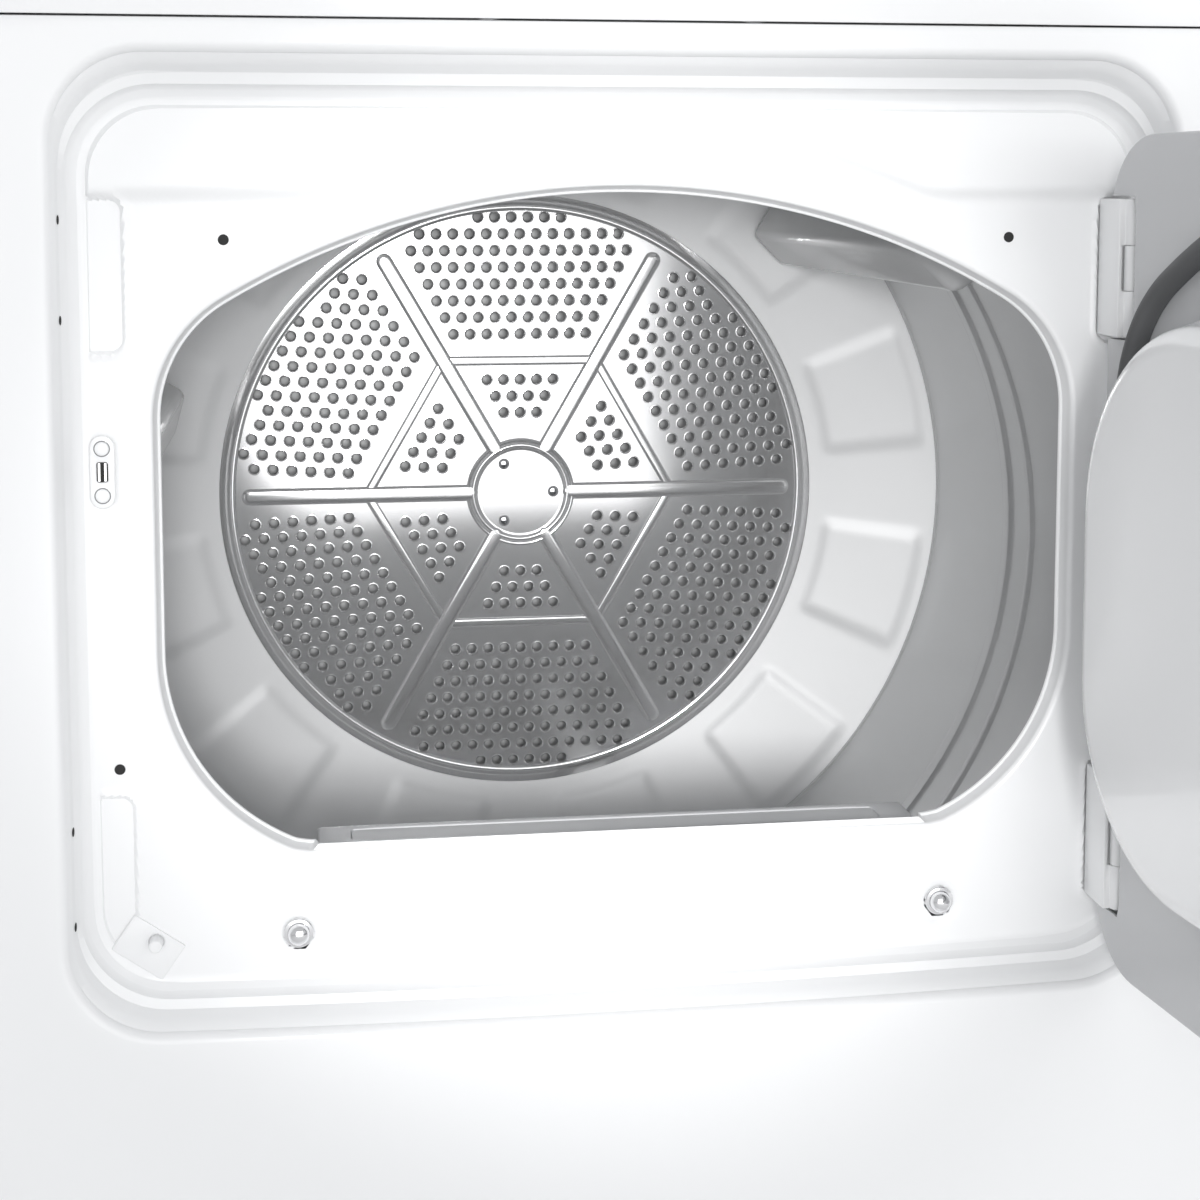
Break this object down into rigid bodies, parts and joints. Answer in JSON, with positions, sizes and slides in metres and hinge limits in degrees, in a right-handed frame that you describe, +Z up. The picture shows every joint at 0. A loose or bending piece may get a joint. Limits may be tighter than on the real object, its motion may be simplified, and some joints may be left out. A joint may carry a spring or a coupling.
{
  "type": "clothes dryer",
  "caption": "Front-loading vented clothes dryer with its side-hinged door open, a perforated rear drum plate, three baffles, lint filter in the sill and a raised control console.",
  "frame": {"origin": "on the floor, below the middle of the box around the dryer with its door open", "axes": "+Z up, +X to the right of a person facing the door, +Y from the door to the back"},
  "size_m": [0.686, 1.1624, 1.0745],
  "materials": {
    "white_enamel": "smooth gloss white enamel",
    "zinc_steel": "zinc coated sheet, matt",
    "drum_grey": "satin grey drum finish",
    "bright_steel": "bright rolled stainless steel",
    "rubber": "matt dark rubber",
    "felt": "pressed wool felt",
    "pale_plastic": "pale grey moulded plastic",
    "white_plastic": "white moulded plastic",
    "grey_plastic": "grey moulded plastic"
  },
  "bodies": {
    "cabinet": {"front_panel": "white_enamel", "left_side_panel": "white_enamel", "right_side_panel": "white_enamel", "top_panel": "white_enamel", "console_fascia": "white_enamel", "rear_panel": "zinc_steel", "terminal_cover": "zinc_steel", "base_pan": "zinc_steel", "console_rear_cover": "zinc_steel", "front_bulkhead": "zinc_steel", "heat_diffuser": "zinc_steel", "rear_bearing": "zinc_steel", "heater_housing": "zinc_steel", "motor_body": "zinc_steel", "motor_bracket": "zinc_steel", "blower_housing": "zinc_steel", "exhaust_duct": "zinc_steel", "filter_duct": "zinc_steel", "hinge_bracket_upper": "zinc_steel", "hinge_bracket_lower": "zinc_steel", "strike_plate": "bright_steel", "panel_screw_left": "bright_steel", "panel_screw_right": "bright_steel", "hinge_pin_upper": "bright_steel", "hinge_pin_lower": "bright_steel", "drive_belt": "rubber", "heater_element": "rubber", "front_felt_seal": "felt", "rear_felt_seal": "felt", "console_cap_left": "white_plastic", "console_cap_right": "white_plastic", "drum_glide_left": "white_plastic", "drum_glide_right": "white_plastic", "door_switch_housing": "white_plastic"},
    "drum": {"drum_shell": "drum_grey", "drum_rear_cone": "drum_grey", "drum_rear_plate": "bright_steel", "drum_baffle_1": "drum_grey", "drum_baffle_2": "drum_grey", "drum_baffle_3": "drum_grey", "drum_shaft": "zinc_steel"},
    "door": {"door_outer_panel": "white_enamel", "door_inner_panel": "white_plastic", "door_gasket": "rubber", "door_catch": "bright_steel", "hinge_leaf_upper": "zinc_steel", "hinge_leaf_lower": "zinc_steel"},
    "motor_rotor": {"motor_shaft": "bright_steel", "blower_wheel": "grey_plastic"},
    "idler_arm": {"idler_arm": "zinc_steel"},
    "idler_pulley": {"idler_pulley": "grey_plastic"},
    "lint_filter": {"lint_filter": "pale_plastic"},
    "timer_knob": {"timer_knob": "white_plastic"},
    "temperature_knob": {"temperature_knob": "white_plastic"},
    "start_button": {"start_button": "white_plastic"},
    "switch_plunger": {"door_switch_plunger": "white_plastic"},
    "foot_front_left": {"foot_front_left": "rubber"},
    "foot_front_right": {"foot_front_right": "rubber"},
    "foot_rear_left": {"foot_rear_left": "rubber"},
    "foot_rear_right": {"foot_rear_right": "rubber"}
  },
  "joints": [
    {"name": "drum_spin", "type": "hinge", "parent": "cabinet", "child": "drum", "pos_m": [0, 0.26722, 0.564], "axis": [0, 1, 0], "continuous": true},
    {"name": "door_hinge", "type": "hinge", "parent": "cabinet", "child": "door", "pos_m": [0.256, -0.05978, 0.6075], "axis": [0, 0, 1], "range_deg": [-95.5, 5]},
    {"name": "motor_spin", "type": "hinge", "parent": "cabinet", "child": "motor_rotor", "pos_m": [0.15, 0.18722, 0.15], "axis": [0, 1, 0], "continuous": true},
    {"name": "idler_arm_swing", "type": "hinge", "parent": "cabinet", "child": "idler_arm", "pos_m": [0.11, 0.30022, 0.06], "axis": [0, 1, 0], "range_deg": [-4, 0], "stiffness_Nm_per_rad": 4, "springref_deg": 8.59},
    {"name": "idler_spin", "type": "hinge", "parent": "idler_arm", "child": "idler_pulley", "pos_m": [0.07021, 0.28922, 0.14627], "axis": [0, 1, 0], "continuous": true},
    {"name": "lint_filter_slide", "type": "slide", "parent": "cabinet", "child": "lint_filter", "axis": [0, 0, 1], "range_m": [0, 0.26]},
    {"name": "timer_turn", "type": "hinge", "parent": "cabinet", "child": "timer_knob", "pos_m": [0.176, 0.45322, 0.9865], "axis": [0, -0.9054, 0.4246], "continuous": true},
    {"name": "temperature_turn", "type": "hinge", "parent": "cabinet", "child": "temperature_knob", "pos_m": [-0.096, 0.45322, 0.9865], "axis": [0, -0.9054, 0.4246], "range_deg": [-135, 135]},
    {"name": "start_push", "type": "slide", "parent": "cabinet", "child": "start_button", "axis": [0, 0.9054, -0.4246], "range_m": [0, 0.004], "stiffness_N_per_m": 400, "springref_m": -0.002},
    {"name": "switch_push", "type": "slide", "parent": "cabinet", "child": "switch_plunger", "axis": [0, 1, 0], "range_m": [0, 0.006], "stiffness_N_per_m": 150, "springref_m": -0.002},
    {"name": "foot_front_left_height", "type": "slide", "parent": "cabinet", "child": "foot_front_left", "axis": [0, 0, -1], "range_m": [0, 0.015]},
    {"name": "foot_front_right_height", "type": "slide", "parent": "cabinet", "child": "foot_front_right", "axis": [0, 0, -1], "range_m": [0, 0.015]},
    {"name": "foot_rear_left_height", "type": "slide", "parent": "cabinet", "child": "foot_rear_left", "axis": [0, 0, -1], "range_m": [0, 0.015]},
    {"name": "foot_rear_right_height", "type": "slide", "parent": "cabinet", "child": "foot_rear_right", "axis": [0, 0, -1], "range_m": [0, 0.015]}
  ],
  "couplings": [
    {"joint": "motor_spin", "follows": "drum_spin", "ratio": 23.429},
    {"joint": "idler_spin", "follows": "drum_spin", "ratio": -16.4}
  ]
}
